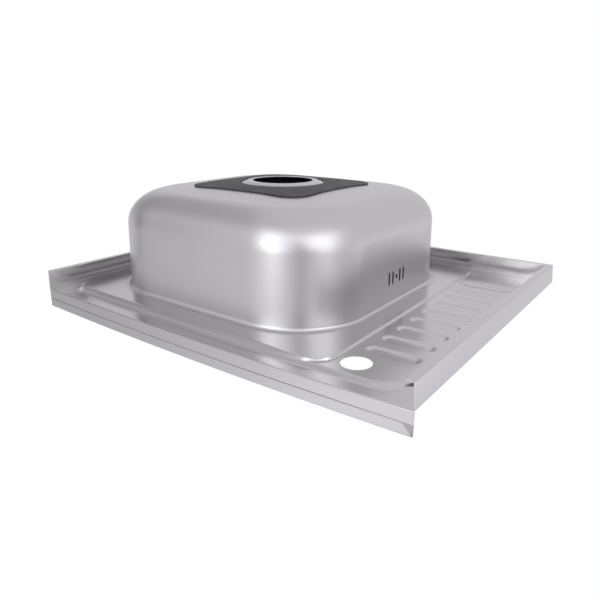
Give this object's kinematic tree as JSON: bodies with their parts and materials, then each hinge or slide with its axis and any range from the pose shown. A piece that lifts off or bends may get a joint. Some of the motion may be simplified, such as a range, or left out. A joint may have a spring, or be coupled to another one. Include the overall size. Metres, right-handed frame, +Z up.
{
  "type": "overlay kitchen sink with drainboard",
  "caption": "Square-edged stainless overlay kitchen sink with a drawn bowl on the left, a ribbed drainer with tap hole on the right, a rear splash edge and a sound-deadening pad under the bowl",
  "frame": {"origin": "middle of the 600 x 500 outline, in the plane of the cabinet's top rim on which the return lips rest", "axes": "+X right along the front, towards the drainer; +Y to the wall behind; +Z up"},
  "size_m": [0.6, 0.5017, 0.1824],
  "materials": {
    "satin_steel": "satin",
    "black_rubber": "matt"
  },
  "bodies": {
    "root": {"deck_sheet": "satin_steel", "bowl": "satin_steel", "sound_pad": "black_rubber"}
  },
  "joints": []
}
